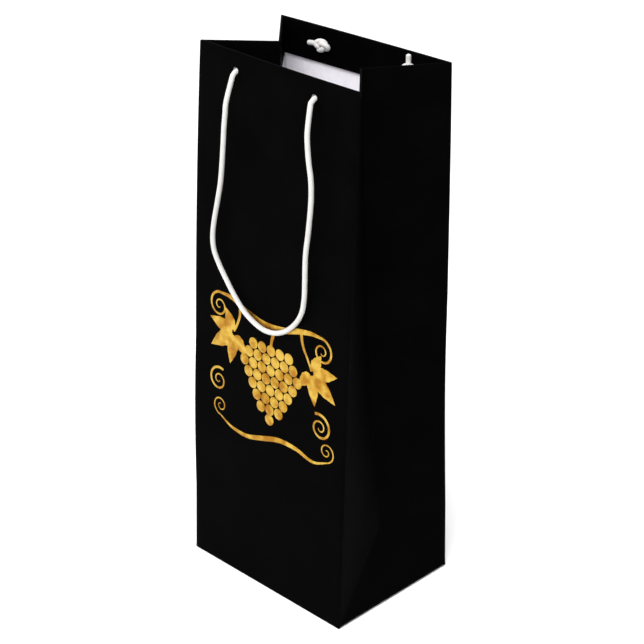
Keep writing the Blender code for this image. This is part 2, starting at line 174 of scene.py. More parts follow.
def new_material(name, roughness, specular=0.5, metallic=0.0):
    """A material with its shader and an object-space position to texture from."""
    material = bpy.data.materials.new(name)
    material.use_nodes = True
    shader = material.node_tree.nodes["Principled BSDF"]
    shader.inputs["Roughness"].default_value = roughness
    shader.inputs["Specular IOR Level"].default_value = specular
    shader.inputs["Metallic"].default_value = metallic
    place = add_node(material, "ShaderNodeTexCoord").outputs["Object"]
    return material, shader, place


def feed(material, value, socket):
    """Sets a socket to a value, or links it to another node's output."""
    if isinstance(value, bpy.types.NodeSocket):
        material.node_tree.links.new(value, socket)
    else:
        socket.default_value = value


def add_node(material, kind, **inputs):
    """A shader node with its inputs fed."""
    node = material.node_tree.nodes.new(kind)
    for name, value in inputs.items():
        feed(material, value, node.inputs[name])
    return node


def add_noise(material, position, scale, detail=4.0, stretch=None):
    """Noise at this many features a metre, stretched by a factor on each axis."""
    if stretch:
        mapping = add_node(material, "ShaderNodeMapping", Scale=stretch, Vector=position)
        position = mapping.outputs["Vector"]
    noise = add_node(material, "ShaderNodeTexNoise", Scale=scale, Detail=detail, Vector=position)
    return noise.outputs["Fac"]


def add_ramp(material, factor, stops):
    """Colours or greys at positions along a factor."""
    ramp = add_node(material, "ShaderNodeValToRGB", Fac=factor)
    points = ramp.color_ramp.elements
    while len(points) < len(stops):
        points.new(0.5)
    for point, (place, color) in zip(points, stops):
        point.position = place
        point.color = (*color, 1.0) if isinstance(color, tuple) else (color, color, color, 1.0)
    return ramp.outputs["Color"]


def add_bump(material, shader, height, distance, strength, under=None):
    """Fine relief; under is a bump that this one lies on."""
    bump = add_node(material, "ShaderNodeBump", Distance=distance, Strength=strength, Height=height)
    if under:
        feed(material, under, bump.inputs["Normal"])
    feed(material, bump.outputs["Normal"], shader.inputs["Normal"])
    return bump.outputs["Normal"]


def multiply(material, first, second):
    """The product of two factors, each a socket or a number."""
    node = add_node(material, "ShaderNodeMath")
    node.operation = "MULTIPLY"
    for socket, value in zip(node.inputs, (first, second)):
        feed(material, value, socket)
    return node.outputs["Value"]


def black_paper():
    """Matt laminated kraft: near black, worn and scuffed paler where the folds stand out."""
    material, shader, place = new_material("laminated_black", 0.5, specular=0.005)
    darker, lighter = (0.0006, 0.0006, 0.0007), (0.0012, 0.0011, 0.0012)
    tone = add_noise(material, place, 45.0, detail=3.0)
    base = add_ramp(material, tone, [(0.30, darker), (0.75, lighter)])
    only_strongest = [(0.56, 0.0), (0.66, 1.0)]
    edge = add_node(material, "ShaderNodeNewGeometry").outputs["Pointiness"]
    worn = add_ramp(material, edge, only_strongest)
    patches = add_ramp(material, add_noise(material, place, 420.0, detail=6.0), only_strongest)
    scuff = multiply(material, worn, patches)
    mix = add_node(material, "ShaderNodeMix")
    mix.data_type = "RGBA"
    feed(material, multiply(material, scuff, 0.5), mix.inputs["Factor"])
    feed(material, base, mix.inputs["A"])
    feed(material, (0.10, 0.10, 0.105, 1.0), mix.inputs["B"])
    feed(material, mix.outputs["Result"], shader.inputs["Base Color"])
    sheen = add_noise(material, place, 90.0, detail=5.0)
    feed(material, add_ramp(material, sheen, [(0.3, 0.50), (0.7, 0.57)]), shader.inputs["Roughness"])
    fibre = add_noise(material, place, 1500.0, detail=6.0, stretch=(1.0, 1.0, 0.45))
    soft = add_bump(material, shader, add_noise(material, place, 60.0, detail=2.0), 0.0004, 0.12)
    add_bump(material, shader, fibre, 0.00006, 0.35, under=soft)
    return material


def white_paper():
    """The uncoated back of the sheet: slightly cool white with soft fibre clouds."""
    material, shader, place = new_material("uncoated_white", 0.82, specular=0.3)
    light = (0.86, 0.84, 0.88)
    dark = tuple(value * 0.93 for value in light)
    cloud = add_noise(material, place, 260.0, detail=8.0)
    color = add_ramp(material, cloud, [(0.3, dark), (0.7, light)])
    feed(material, color, shader.inputs["Base Color"])
    fibre = add_noise(material, place, 2200.0, detail=8.0, stretch=(1.0, 1.0, 0.4))
    add_bump(material, shader, fibre, 0.00008, 0.5)
    return material


def grey_card(name, dark, light):
    """Recycled board: grey, with darker and lighter flecks pressed into it."""
    material, shader, place = new_material(name, 0.88, specular=0.25)
    palest = tuple(value * 1.12 for value in light)
    fleck = add_noise(material, place, 900.0, detail=9.0)
    color = add_ramp(material, fleck, [(0.32, dark), (0.5, light), (0.72, palest)])
    feed(material, color, shader.inputs["Base Color"])
    add_bump(material, shader, fleck, 0.00012, 0.6)
    return material


def cotton_cord():
    """Braided white cord: fine fibres laid along the strands, with painted shade darkening the
    grooves.
    """
    material, shader, place = new_material("braided_cord", 0.78, specular=0.3)
    shader.inputs["Sheen Weight"].default_value = 0.25
    shader.inputs["Sheen Roughness"].default_value = 0.4
    relief = add_node(material, "ShaderNodeAttribute")
    relief.attribute_name = "relief"
    # The grooves get a darker colour than the stitches: painted shade in the braid's recesses.
    painted_groove_shade, stitches = (0.36, 0.35, 0.34), (0.50, 0.492, 0.48)
    shade = add_ramp(material, relief.outputs["Fac"], [(0.0, painted_groove_shade), (0.55, stitches)])
    feed(material, shade, shader.inputs["Base Color"])
    uv = add_node(material, "ShaderNodeUVMap")
    uv.uv_map = "along"
    fibre = add_noise(material, uv.outputs["UV"], 30.0, detail=6.0, stretch=(9.0, 160.0, 1.0))
    fuzz = add_bump(material, shader, add_noise(material, place, 2600.0, detail=5.0), 0.00008, 0.4)
    add_bump(material, shader, fibre, 0.00007, 0.6, under=fuzz)
    return material


def gold_foil():
    """Hot-stamped foil: mottled from yellow gold to orange gold, with fine pressing marks."""
    material, shader, place = new_material("gold_foil", 0.3, metallic=1.0)
    deep, middle, bright = (0.31, 0.135, 0.009), (0.41, 0.225, 0.024), (0.52, 0.34, 0.055)
    mottle = add_noise(material, place, 150.0, detail=7.0)
    color = add_ramp(material, mottle, [(0.36, deep), (0.47, middle), (0.60, bright)])
    feed(material, color, shader.inputs["Base Color"])
    wear = add_noise(material, place, 700.0, detail=6.0)
    feed(material, add_ramp(material, wear, [(0.35, 0.30), (0.7, 0.50)]), shader.inputs["Roughness"])
    add_bump(material, shader, add_noise(material, place, 1100.0, detail=4.0), 0.00005, 0.35)
    return material


# ---- Mesh helpers ----

def add_object(name, data):
    """A new object in the scene."""
    item = bpy.data.objects.new(name, data)
    bpy.context.scene.collection.objects.link(item)
    return item


def new_object(name, points, faces, materials):
    """An object made of points and faces."""
    mesh = bpy.data.meshes.new(name)
    mesh.from_pydata([tuple(point) for point in points], [], faces)
    for material in materials:
        mesh.materials.append(material)
    mesh.update()
    return add_object(name, mesh)


def tube_faces(rings, sides):
    """The quads between neighbouring rings of points."""
    faces = []
    for ring in range(rings - 1):
        for side in range(sides):
            a, b = ring * sides + side, ring * sides + (side + 1) % sides
            faces.append([a, b, b + sides, a + sides])
    return faces


def apply_modifiers(item):
    """Turns the object's modifiers into its mesh."""
    graph = bpy.context.evaluated_depsgraph_get()
    mesh = bpy.data.meshes.new_from_object(item.evaluated_get(graph))
    item.modifiers.clear()
    item.data = mesh


def smooth(item, angle=math.radians(32)):
    """Smooth faces, with edges sharper than the angle kept sharp."""
    item.data.shade_smooth()
    item.data.set_sharp_from_angle(angle=angle)


def stand_for(node, item):
    """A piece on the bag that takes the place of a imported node."""
    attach(item, "bag")
    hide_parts(node)


def paper_sheet(name, rows, materials, facing, folds=(), splits=None, thickness=PAPER, rim=0):
    """A sheet of paper through rows of points; its first face looks the way that facing says.

    folds are pairs of grid places (row, column) whose edge is creased with a small radius, splits
    says along which diagonal a cell (row, column) is cut, and rim is the cut edges' material.
    """
    splits = splits or {}
    columns = len(rows[0])
    points = [point for row in rows for point in row]
    faces = []
    for row in range(len(rows) - 1):
        for column in range(columns - 1):
            a = row * columns + column
            b, c, d = a + 1, a + columns + 1, a + columns
            diagonal = splits.get((row, column))
            if diagonal == "rising":
                faces += [[a, b, c], [a, c, d]]
            elif diagonal == "falling":
                faces += [[a, b, d], [b, c, d]]
            else:
                faces.append([a, b, c, d])
    item = new_object(name, points, faces, materials)
    if item.data.polygons[0].normal.dot(facing) < 0:
        item.data.flip_normals()
    if folds:
        mark_folds(item.data, columns, folds)
        bevel = item.modifiers.new("creases", "BEVEL")
        bevel.limit_method = "WEIGHT"
        bevel.width = FOLD_RADIUS
        bevel.segments = 3
    thick = item.modifiers.new("thickness", "SOLIDIFY")
    thick.thickness = thickness
    thick.offset = 0.0
    thick.use_even_offset = True
    thick.material_offset = 1
    thick.material_offset_rim = rim
    apply_modifiers(item)
    return item


def mark_folds(mesh, columns, folds):
    """Gives the folds' edges the weight that the bevel reads."""
    wanted = {frozenset(row * columns + column for row, column in fold) for fold in folds}
    weights = mesh.attributes.new("bevel_weight_edge", "FLOAT", "EDGE")
    for edge in mesh.edges:
        if frozenset(edge.vertices) in wanted:
            weights.data[edge.index].value = 1.0


# ---- The folded bag ----

def half_depth(z):
    """The panels lean in evenly from the base to the mouth."""
    return BASE_HALF_DEPTH + (MOUTH_HALF_DEPTH - BASE_HALF_DEPTH) * z / TOP


def crease_inset(z):
    """How far a gusset's middle crease is pushed in: each half keeps its width of paper."""
    return math.sqrt(max(BASE_HALF_DEPTH ** 2 - half_depth(z) ** 2, 0.0))


APEX_Z = math.sqrt(BASE_HALF_DEPTH ** 2 - crease_inset(BASE_HALF_DEPTH) ** 2)
APEX_INSET = crease_inset(APEX_Z)


def fade(z, low, high):
    """0 at both heights, 1 midway."""
    share = min(max((z - low) / (high - low), 0.0), 1.0)
    return math.sin(math.pi * share)


def rise(z, low, high):
    """0 below both heights, 1 above them."""
    share = min(max((z - low) / (high - low), 0.0), 1.0)
    return share * share * (3 - 2 * share)


def mouth_pull(z):
    """How much of the mouth's distortion has set in at this height."""
    return max((z - MOUTH_START) / (TOP - MOUTH_START), 0.0) ** 2


def corner(hand, side, z):
    """A corner fold of the opened bag; the mouth has sprung a little out of square."""
    across, back = CORNER_SHIFTS[hand, side]
    pull = mouth_pull(z)
    x, y = hand * HALF_WIDTH + across * pull, side * half_depth(z) + back * pull
    if (hand, side) == (LEFT, FRONT):
        y -= FOLD_BOW * fade(z, APEX_Z, MOUTH_START)
    if (hand, side) == (RIGHT, BACK):
        y += LEAN_BACK * rise(z, LEAN_BACK_LOW, LEAN_BACK_HIGH)
        y -= FOLD_BOW * fade(z, APEX_Z, REAR_BOW_TOP)
    return Vector((x, y))


def crease(hand, z):
    """A gusset's middle crease, pushed in so that each half keeps its width of paper."""
    across, back = CREASE_SHIFTS[hand]
    pull = mouth_pull(z)
    return Vector((hand * (HALF_WIDTH - crease_inset(z)) + across * pull, back * pull))


def mouth_bow(side, share, z):
    """The panels' top edges bulge outward a little between their corners."""
    return RIM_BULGE[side] * mouth_pull(z) * 4 * share * (1 - share)


def panel_bow(side, share, z):
    """How far a panel swells outward: an empty bag's walls are never quite flat."""
    across = 4 * share * (1 - share)
    swell = PANEL_SWELL[side] + PANEL_RIPPLE * math.sin(9 * share + 34 * z)
    return across * fade(z, 0.0, HEM_LOW) * swell + mouth_bow(side, share, z)


def wall_middle(side, x, z):
    """The middle of a panel's paper at this x, with its lean, distortion and bow."""
    left, right = corner(LEFT, side, z), corner(RIGHT, side, z)
    share = (x - left.x) / (right.x - left.x)
    return left.y + (right.y - left.y) * share + side * panel_bow(side, share, z)


def behind_wall(side, x, z, inset):
    """A place this far inside a panel, in line with its rim's bulge but not with its swell."""
    share = (x + HALF_WIDTH) / (2 * HALF_WIDTH)
    swell = panel_bow(side, share, z) - mouth_bow(side, share, z)
    return wall_middle(side, x, z) - side * (swell + inset)


def gusset_bow(share, z):
    """How far a half gusset bulges out between its corner and its crease."""
    return GUSSET_BULGE * math.sin(math.pi * share) * fade(z, 0.0, HEM_LOW) * math.sin(9 * z + 1.0)


def line_meeting(a, along_a, b, along_b):
    """Where two lines in the level plane cross."""
    cross = along_a.x * along_b.y - along_a.y * along_b.x
    gap = b - a
    return a + along_a * ((gap.x * along_b.y - gap.y * along_b.x) / cross)


def offset_outline(corners, insets):
    """The outline's corners again, with each edge moved in by its own distance."""
    count = len(corners)
    moved = []
    for index in range(count):
        before, here, after = corners[index - 1], corners[index], corners[(index + 1) % count]
        along_in, along_out = (here - before).normalized(), (after - here).normalized()
        in_shift = Vector((-along_in.y, along_in.x)) * insets[index - 1]
        out_shift = Vector((-along_out.y, along_out.x)) * insets[index]
        moved.append(line_meeting(here + in_shift, along_in, here + out_shift, along_out))
    return moved


def outline_at(z, panel_inset, gusset_inset):
    """The level section's corners and creases, anticlockwise from the rear left corner."""
    corners = [
        corner(LEFT, BACK, z), crease(LEFT, z), corner(LEFT, FRONT, z),
        corner(RIGHT, FRONT, z), crease(RIGHT, z), corner(RIGHT, BACK, z),
    ]
    insets = [gusset_inset, gusset_inset, panel_inset, gusset_inset, gusset_inset, panel_inset]
    return offset_outline(corners, insets)


def between(start, end, cells):
    """Points from start up to, but not at, end."""
    return [start.lerp(end, step / cells) for step in range(cells)]


def side_points(hand, z, row):
    """Level section of a gusset below the apex of its foot: half, foot, half, front to back."""
    inward = HALF_WIDTH - APEX_INSET * z / APEX_Z
    edge = Vector((hand * HALF_WIDTH, -half_depth(z)))
    fold = Vector((hand * inward, -BASE_HALF_DEPTH * (1 - z / APEX_Z)))
    middle = Vector((hand * inward, 0.0))
    points = between(edge, fold, row) + between(fold, middle, GUSSET_CELLS - row)
    return points + [middle] + [Vector((p.x, -p.y)) for p in reversed(points)]


def wall_row(z, row, panel_inset=0.0, gusset_inset=0.0):
    """One row of the blank, from the rear left seam round by the left, front and right sides."""
    if row < GUSSET_CELLS:
        left = list(reversed(side_points(LEFT, z, row)))
        right = side_points(RIGHT, z, row)
    else:
        rear_left, left_crease, front_left, front_right, right_crease, rear_right = outline_at(
            z, panel_inset, gusset_inset)
        left = between(rear_left, left_crease, GUSSET_CELLS)
        left += between(left_crease, front_left, GUSSET_CELLS) + [front_left]
        right = between(front_right, right_crease, GUSSET_CELLS)
        right += between(right_crease, rear_right, GUSSET_CELLS) + [rear_right]
    front = between(left[-1], right[0], PANEL_CELLS)
    back = between(right[-1], left[0], PANEL_CELLS) + [left[0]]
    return left[:-1] + front + right[:-1] + back


LEFT_END = 2 * GUSSET_CELLS
FRONT_END = LEFT_END + PANEL_CELLS
RIGHT_END = FRONT_END + 2 * GUSSET_CELLS


def bow_panels(flat, z, bow):
    """A row in space, with the front and back panels pushed out by bow(side, share, z)."""
    points = []
    for column, (x, y) in enumerate(flat):
        if LEFT_END <= column <= FRONT_END:
            y -= bow(FRONT, (column - LEFT_END) / PANEL_CELLS, z)
        elif column >= RIGHT_END:
            y += bow(BACK, (column - RIGHT_END) / PANEL_CELLS, z)
        points.append(Vector((x, y, z)))
    return points


def bow_gussets(points, z):
    """Pushes the gusset halves of a wall's row out of their faces."""
    for column, point in enumerate(points[:RIGHT_END]):
        if not LEFT_END <= column <= FRONT_END:
            share = (column if column < LEFT_END else column - FRONT_END) / GUSSET_CELLS
            point.x += math.copysign(gusset_bow(share % 1.0, z), point.x)


def fold_level(column):
    """Height of the flap that a column of the wall folds into."""
    if LEFT_END <= column <= FRONT_END:
        return FRONT_LEVEL
    return BACK_LEVEL if column >= RIGHT_END else SIDE_LEVEL


def rolled(radius, degrees):
    """(shift from the face, drop from the crown) at a place on a quarter round."""
    turn = math.radians(degrees)
    return radius * (1 - math.cos(turn)), radius * (1 - math.sin(turn))


def roll_rows():
    """(height, panel inset, gusset inset) over the top edge, as two quarter rounds."""
    rows = []
    for degrees in (30, 60, 90):
        shift, drop = rolled(HEM_ROLL, degrees)
        rows.append((TOP_MIDDLE - drop, shift, shift))
    for degrees in (90, 60, 30, 0):
        shift, drop = rolled(HEM_ROLL, degrees)
        rows.append((TOP_MIDDLE - drop, PANEL_HEM_INSET - shift, GUSSET_HEM_INSET - shift))
    return rows


def blank_rows():
    """The whole blank but its flaps: up the outside, over the top and down inside as the hem."""
    rows = []
    for row in range(GUSSET_CELLS):
        z = APEX_Z * row / GUSSET_CELLS
        rows.append(bow_panels(wall_row(z, row), z, panel_bow))
    for column, point in enumerate(rows[0]):
        point.z = fold_level(column) + FOLD_RADIUS
    wall_top = TOP_MIDDLE - HEM_ROLL
    for step in range(WALL_ROWS + 1):
        z = APEX_Z + (wall_top - APEX_Z) * step / WALL_ROWS
        rows.append(bow_panels(wall_row(z, GUSSET_CELLS), z, panel_bow))
        if step:
            bow_gussets(rows[-1], z)
    hem = roll_rows()
    for step in range(1, HEM_ROWS + 1):
        z = wall_top + (HEM_LOW - wall_top) * step / HEM_ROWS
        hem.append((z, PANEL_HEM_INSET, GUSSET_HEM_INSET))
    for z, panel_inset, gusset_inset in hem:
        rows.append(bow_panels(wall_row(z, GUSSET_CELLS, panel_inset, gusset_inset), z, mouth_bow))
    return rows


def blank_folds(row_count):
    """Edges creased at the four corners, the two gusset creases and the feet's diagonals."""
    folds = []
    for row in range(row_count - 1):
        for column in (LEFT_END, FRONT_END, RIGHT_END):
            folds.append(((row, column), (row + 1, column)))
        if row >= GUSSET_CELLS:
            for column in (GUSSET_CELLS, FRONT_END + GUSSET_CELLS):
                folds.append(((row, column), (row + 1, column)))
    for row in range(GUSSET_CELLS):
        for start, end in ((0, LEFT_END), (FRONT_END, RIGHT_END)):
            folds.append(((row, start + row), (row + 1, start + row + 1)))
            folds.append(((row, end - row), (row + 1, end - row - 1)))
    return folds


def blank_splits():
    """Cells of the feet's diagonal folds, split along the fold."""
    splits = {}
    for row in range(GUSSET_CELLS):
        for start, end in ((0, LEFT_END), (FRONT_END, RIGHT_END)):
            splits[(row, start + row)] = "rising"
            splits[(row, end - row - 1)] = "falling"
    return splits


def part_seam(rows):
    """Draws the gusset's end back from the back panel's cut edge, about a sheet's thickness."""
    sheets = 1.2
    for row in rows:
        row[0] = row[0] + (row[1] - row[0]).normalized() * PAPER * sheets


def punch_holes(item):
    """Four straight punched holes through the walls and the hems inside them."""
    length = 0.02
    cutters = bmesh.new()
    for hand in (LEFT, RIGHT):
        for side in (FRONT, BACK):
            made = bmesh.ops.create_cone(
                cutters, segments=40, radius1=HOLE_RADIUS, radius2=HOLE_RADIUS, depth=length,
                cap_ends=True)
            for vertex in made["verts"]:
                x, y, z = vertex.co
                vertex.co = (hand * HOLE_X + x, side * MOUTH_HALF_DEPTH + z, HOLE_Z + y)
    bmesh.ops.recalc_face_normals(cutters, faces=cutters.faces)
    mesh = bpy.data.meshes.new("punch")
    cutters.to_mesh(mesh)
    cutters.free()
    punch = add_object("punch", mesh)
    for material in item.data.materials:
        mesh.materials.append(material)
    mesh.polygons.foreach_set("material_index", [1] * len(mesh.polygons))
    cut = item.modifiers.new("holes", "BOOLEAN")
    cut.operation = "DIFFERENCE"
    cut.solver = "EXACT"
    cut.object = punch
    apply_modifiers(item)
    bpy.data.objects.remove(punch)


def make_bag(black, white):
    """The walls, gussets and hem: one creased sheet, black outside and white inside."""
    rows = blank_rows()
    part_seam(rows)
    bag = paper_sheet(
        "folded_bag", rows, [black, white], Vector((-1, 0, 0)),
        folds=blank_folds(len(rows)), splits=blank_splits(),
    )
    punch_holes(bag)
    smooth(bag)
    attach(bag, "bag")
    nodes = ["front_panel", "back_panel", "front_hem", "back_hem"]
    for hand in ("left", "right"):
        nodes.append(f"{hand}_gusset_foot")
        for side in ("front", "rear"):
            nodes += [f"{hand}_gusset_{side}", f"{hand}_gusset_{side}_hem"]
    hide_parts(*nodes)


def make_seam_flap(black, white):
    """The glue flap that runs up inside the back panel from the rear left corner."""
    low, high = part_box("side_seam_flap")
    taper, taper_height = 0.004, 0.006
    lap, root_dip = PAPER * 1.3, 0.0002
    steps = 40
    rows = []
    for step in range(steps + 1):
        z = low.z + (high.z - low.z) * step / steps
        width = high.x - taper * max(1 - (z - low.z) / taper_height, 0.0) - low.x
        drift = corner(LEFT, BACK, z).x + HALF_WIDTH
        row = []
        for share in (0.0, 0.02, 0.25, 0.5, 0.75, 1.0):
            x = low.x + drift + width * share
            inset = lap + root_dip * max(1 - share * 30, 0.0)
            row.append(Vector((x, wall_middle(BACK, x, z) - inset, z)))
        rows.append(row)
    flap = paper_sheet("seam_flap_paper", rows, [black, white], Vector((0, 1, 0)), rim=1)
    smooth(flap)
    stand_for("side_seam_flap", flap)


def fold_steps(level):
    """(distance in from the wall, height) round the fold at a flap's root."""
    steps = [rolled(FOLD_RADIUS, degrees) for degrees in (0, 22.5, 45, 67.5, 90)]
    return [(reach, level + drop) for reach, drop in steps]


def make_end_flap(name, side, level, black, white):
    """Front or back flap: full width at its fold, mitred at 45 degrees, past the middle."""
    low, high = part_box(name)
    tip = high.y if side == FRONT else low.y
    root_y = side * BASE_HALF_DEPTH
    half_root = HALF_WIDTH - PAPER
    mitre = 0.036
    length = abs(tip - root_y)
    steps = fold_steps(level)
    steps += [(mitre * step / 6, level) for step in range(1, 7)]
    steps += [(mitre + (length - mitre) * share, level) for share in (0.33, 0.66, 1.0)]
    rows = []
    for reach, z in steps:
        half = half_root - min(max(reach - FOLD_RADIUS, 0.0), mitre)
        rows.append([Vector((half * step / 4, root_y - side * reach, z)) for step in range(-4, 5)])
    flap = paper_sheet(name + "_paper", rows, [black, white], Vector((0, side, -0.2)))
    smooth(flap)
    stand_for(name, flap)


def make_side_flap(name, hand, black, white):
    """Left or right flap: a plain rectangle folded in over the end flaps."""
    low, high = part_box(name)
    tip = high.x if hand == LEFT else low.x
    steps = fold_steps(SIDE_LEVEL)
    length = HALF_WIDTH - abs(tip)
    steps += [(FOLD_RADIUS + (length - FOLD_RADIUS) * share, SIDE_LEVEL)
              for share in (0.2, 0.4, 0.6, 0.8, 1.0)]
    rows = []
    for reach, z in steps:
        x = hand * (HALF_WIDTH - reach)
        rows.append([Vector((x, high.y * share, z)) for share in (-1, -0.6, -0.2, 0.2, 0.6, 1)])
    flap = paper_sheet(name + "_paper", rows, [black, white], Vector((hand, 0, -0.2)))
    smooth(flap)
    stand_for(name, flap)


def make_base_card(card):
    """The loose stiff card in the bottom, die cut with eased corners and edges."""
    low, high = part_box("base_card")
    ease, edge, spread = 0.002, 0.0001, 1.0015
    outline = []
    for cx, cy, start in ((1, 1, 0), (-1, 1, 90), (-1, -1, 180), (1, -1, 270)):
        for degrees in range(start, start + 91, 15):
            turn = math.radians(degrees)
            outline.append((cx * (high.x - ease) + ease * math.cos(turn),
                            cy * (high.y - ease) + ease * math.sin(turn)))
    levels = ((low.z, 1.0), (low.z + edge, spread), (high.z - edge, spread), (high.z, 1.0))
    points = [Vector((x * grow, y * grow, z)) for z, grow in levels for x, y in outline]
    count = len(outline)
    faces = [list(range(count))[::-1], list(range(3 * count, 4 * count))]
    faces += tube_faces(len(levels), count)
    item = new_object("base_board", points, faces, [card])
    smooth(item)
    stand_for("base_card", item)


def make_handle_card(side, card):
    """The stiffening card between a wall and its hem, punched with the same holes."""
    name = ("front" if side == FRONT else "back") + "_handle_card"
    low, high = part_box(name)
    middle = FACE + CARD_GAP + HANDLE_CARD / 2
    places = [low.x + (high.x - low.x) * step / 24 for step in range(25)]
    rows = []
    for level in range(5):
        z = low.z + (high.z - low.z) * level / 4
        rows.append([Vector((x, behind_wall(side, x, z, middle), z)) for x in places])
    facing = Vector((0, side, 0))
    item = paper_sheet(name + "_board", rows, [card, card], facing, thickness=HANDLE_CARD)
    punch_holes(item)
    smooth(item)
    stand_for(name, item)


# ---- Cord ----

BRAID_AROUND = 3
BRAID_STITCH = 0.0021
BRAID_RELIEF = 0.07
CORD_SIDES = 30
CORD_RING = 0.0004

# A cut end is rounded over this length, and its tip keeps this share of its section
END_ROUND = 0.42 * CORD
END_STUB = 0.015

# A rope starts in its knot, turns down outside its hole, and follows its route below the drop
ROPE_TUCK = 0.0002
ROPE_BEND = 0.0054
ROUTE_DROP = 0.012


def smooth_route(points, per_span):
    """Points on the Catmull-Rom curve through the route."""
    ends = [2 * points[0] - points[1]] + points + [2 * points[-1] - points[-2]]
    curve = []
    for index in range(len(points) - 1):
        a, b, c, d = ends[index:index + 4]
        for step in range(per_span):
            t = step / per_span
            curve.append(0.5 * (2 * b + (c - a) * t + (2 * a - 5 * b + 4 * c - d) * t ** 2
                                + (3 * b - a - 3 * c + d) * t ** 3))
    return curve + [points[-1]]


def even_points(curve, spacing):
    """The curve again, as points at equal distances of about this spacing."""
    lengths = [(after - before).length for before, after in zip(curve, curve[1:])]
    total = sum(lengths)
    count = round(total / spacing)
    even = [curve[0]]
    index, walked = 0, 0.0
    for step in range(1, count):
        target = total * step / count
        while walked + lengths[index] < target:
            walked += lengths[index]
            index += 1
        share = (target - walked) / lengths[index]
        even.append(curve[index].lerp(curve[index + 1], share))
    return even + [curve[-1]]


def carried_frames(centres):
    """Two directions square to the path at each point, carried along it without twist."""
    frames = []
    across = None
    for index in range(len(centres)):
        before = centres[max(index - 1, 0)]
        after = centres[min(index + 1, len(centres) - 1)]
        along = (after - before).normalized()
        if across is None:
            across = along.orthogonal().normalized()
        across = (across - along * across.dot(along)).normalized()
        frames.append((across, along.cross(across)))
    return frames


def braid_height(turn, along):
    """0 in the grooves of the braid and 1 on its stitches."""
    lift = math.pi * along / BRAID_STITCH
    crossing = math.cos(BRAID_AROUND * turn + lift) * math.cos(BRAID_AROUND * turn - lift)
    return math.sqrt(abs(crossing))


def braided_cord(name, centres, material, round_end=False):
    """A braided cord along close, evenly spaced points; a far end that shows is rounded."""
    spacing = (centres[1] - centres[0]).length
    last = len(centres) - 1
    points, reliefs = [], []
    for index, (centre, (across, beside)) in enumerate(zip(centres, carried_frames(centres))):
        dome = min((last - index) * spacing / END_ROUND, 1.0) if round_end else 1.0
        swell = math.sqrt(max(1 - (1 - dome) ** 2, END_STUB))
        for step in range(CORD_SIDES):
            turn = 2 * math.pi * step / CORD_SIDES
            height = braid_height(turn, index * spacing)
            radius = CORD / 2 * (1 - BRAID_RELIEF * (1 - height)) * swell
            points.append(centre + (across * math.cos(turn) + beside * math.sin(turn)) * radius)
            reliefs.append(height)
    faces = [list(range(CORD_SIDES))[::-1]] + tube_faces(len(centres), CORD_SIDES)
    faces.append(list(range(last * CORD_SIDES, (last + 1) * CORD_SIDES)))
    item = new_object(name, points, faces, [material])
    item.data.attributes.new("relief", "FLOAT", "POINT").data.foreach_set("value", reliefs)
    lay_along(item.data, spacing)
    smooth(item, math.radians(60))
    return item


def lay_along(mesh, spacing):
    """UVs with U once round the cord and V along it, in cord turns."""
    layer = mesh.uv_layers.new(name="along")
    for face in mesh.polygons:
        vertices = [mesh.loops[loop].vertex_index for loop in face.loop_indices]
        wraps = {vertex % CORD_SIDES for vertex in vertices} >= {0, CORD_SIDES - 1}
        for loop, vertex in zip(face.loop_indices, vertices):
            place = vertex % CORD_SIDES
            around = CORD_SIDES if wraps and place == 0 else place
            v = (vertex // CORD_SIDES) * spacing / (math.pi * CORD)
            layer.data[loop].uv = (around / CORD_SIDES, v)


def hem_face(side, x):
    """Where the hem's inner face is at a hole."""
    return behind_wall(side, x, HOLE_Z, (PANEL_HEM_INSET + FACE) / math.cos(LEAN))


def rope_end(side, x):
    """From inside the hem out through a hole, turning down as tightly as the cord will go."""
    start = hem_face(side, x)
    points = [Vector((x, start - side * ROPE_TUCK, HOLE_Z))]
    for degrees in (25, 50, 72):
        turn = math.radians(degrees)
        out, drop = ROPE_BEND * math.sin(turn), ROPE_BEND * (1 - math.cos(turn))
        points.append(Vector((x, start + side * out, HOLE_Z - drop)))
    return points


def make_rope(side, route, material):
    """One handle: out of a hole, down in a loop that hangs plumb, and back into the other."""
    name = SIDE_NAMES[side] + "_handle_rope"
    low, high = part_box(name)
    plumb = (low.y + CORD / 2) if side == FRONT else (high.y - CORD / 2)
    hinge = HINGES[side].y
    points = rope_end(side, route[0][0])
    for x, share, drop in route:
        if drop > ROUTE_DROP:
            points.append(Vector((x, hinge + (plumb - hinge) * share, HOLE_Z - drop)))
    points += reversed(rope_end(side, route[-1][0]))
    centres = even_points(smooth_route(points, 24), CORD_RING)
    rope = braided_cord(name + "_cord", centres, material)
    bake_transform(rope)
    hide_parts(name)


def knot_route(tail_up):
    """An overhand knot in (across, up, into the bag), drawn tight on a hem face at 0."""
    ring, swing, depth, squash = 0.0033, 0.0015, 0.0031, 0.54
    sweep, steps = 327.6, 48
    start, shift, lift = (77.4, 0.0062, 0.0008) if tail_up else (122.4, 0.0022, 0.0003)
    route = [Vector((0.0, 0.0, 0.0003)), Vector((0.0004, 0.0, 0.0014))]
    for step in range(steps + 1):
        t = math.radians(start + sweep * step / steps)
        radius = ring + swing * math.cos(3 * t)
        route.append(Vector((
            shift + radius * math.cos(2 * t), lift + squash * radius * math.sin(2 * t),
            depth + 0.7 * swing * math.sin(3 * t))))
    if tail_up:
        return route + [Vector((0.0046, 0.0054, 0.0024)), Vector((0.0043, 0.0097, 0.0020))]
    return route + [Vector((-0.0056, 0.0002, 0.0022)), Vector((-0.0102, -0.0004, 0.0021))]


